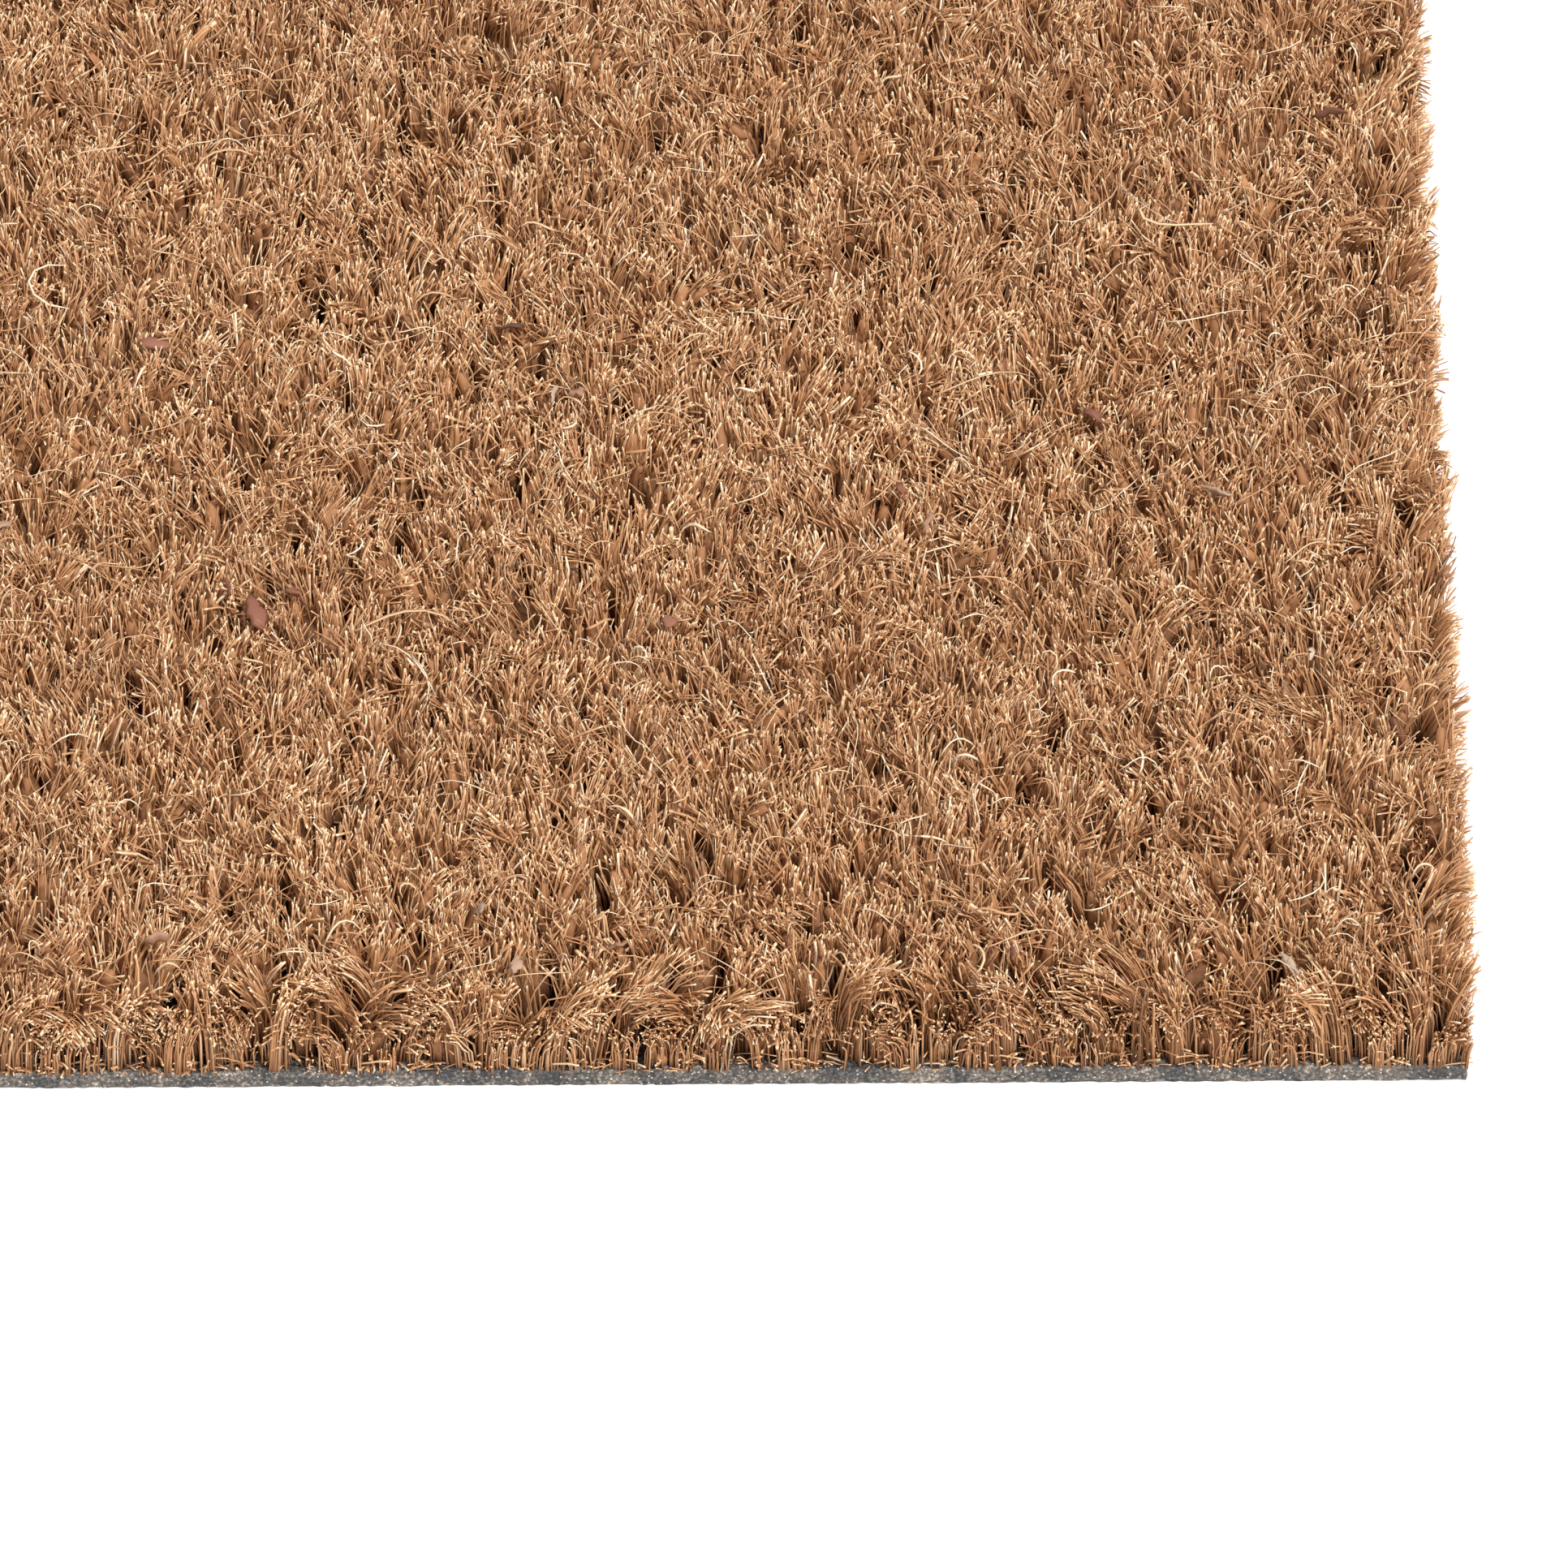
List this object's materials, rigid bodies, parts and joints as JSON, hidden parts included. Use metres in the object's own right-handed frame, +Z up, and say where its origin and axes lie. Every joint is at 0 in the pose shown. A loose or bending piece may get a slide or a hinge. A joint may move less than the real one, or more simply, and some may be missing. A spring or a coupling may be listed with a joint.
{
  "type": "door mat",
  "caption": "Rectangular coir door mat: a dense upright pile of cut coconut-fibre tufts bonded in rows to a thin flexible PVC backing, for wiping shoes at a door.",
  "frame": {"origin": "middle of the underside of the backing, on the floor", "axes": "+X along the long side, to the right; +Y along the short side, away from the front edge; +Z up, out of the pile"},
  "size_m": [0.6, 0.4, 0.017],
  "materials": {
    "pvc": "matte, finely granular flexible PVC",
    "coir": "coarse matte natural coir fibre, cut pile"
  },
  "bodies": {
    "root": {"pvc_backing": "pvc", "tuft_band_01": "coir", "tuft_band_02": "coir", "tuft_band_03": "coir", "tuft_band_04": "coir", "tuft_band_05": "coir", "tuft_band_06": "coir", "tuft_band_07": "coir", "tuft_band_08": "coir", "tuft_band_09": "coir", "tuft_band_10": "coir", "tuft_band_11": "coir", "tuft_band_12": "coir", "tuft_band_13": "coir", "tuft_band_14": "coir", "tuft_band_15": "coir", "tuft_band_16": "coir", "tuft_band_17": "coir", "tuft_band_18": "coir", "tuft_band_19": "coir", "tuft_band_20": "coir", "tuft_band_21": "coir", "tuft_band_22": "coir", "tuft_band_23": "coir", "tuft_band_24": "coir", "tuft_band_25": "coir", "tuft_band_26": "coir", "tuft_band_27": "coir", "tuft_band_28": "coir", "tuft_band_29": "coir"}
  },
  "joints": []
}
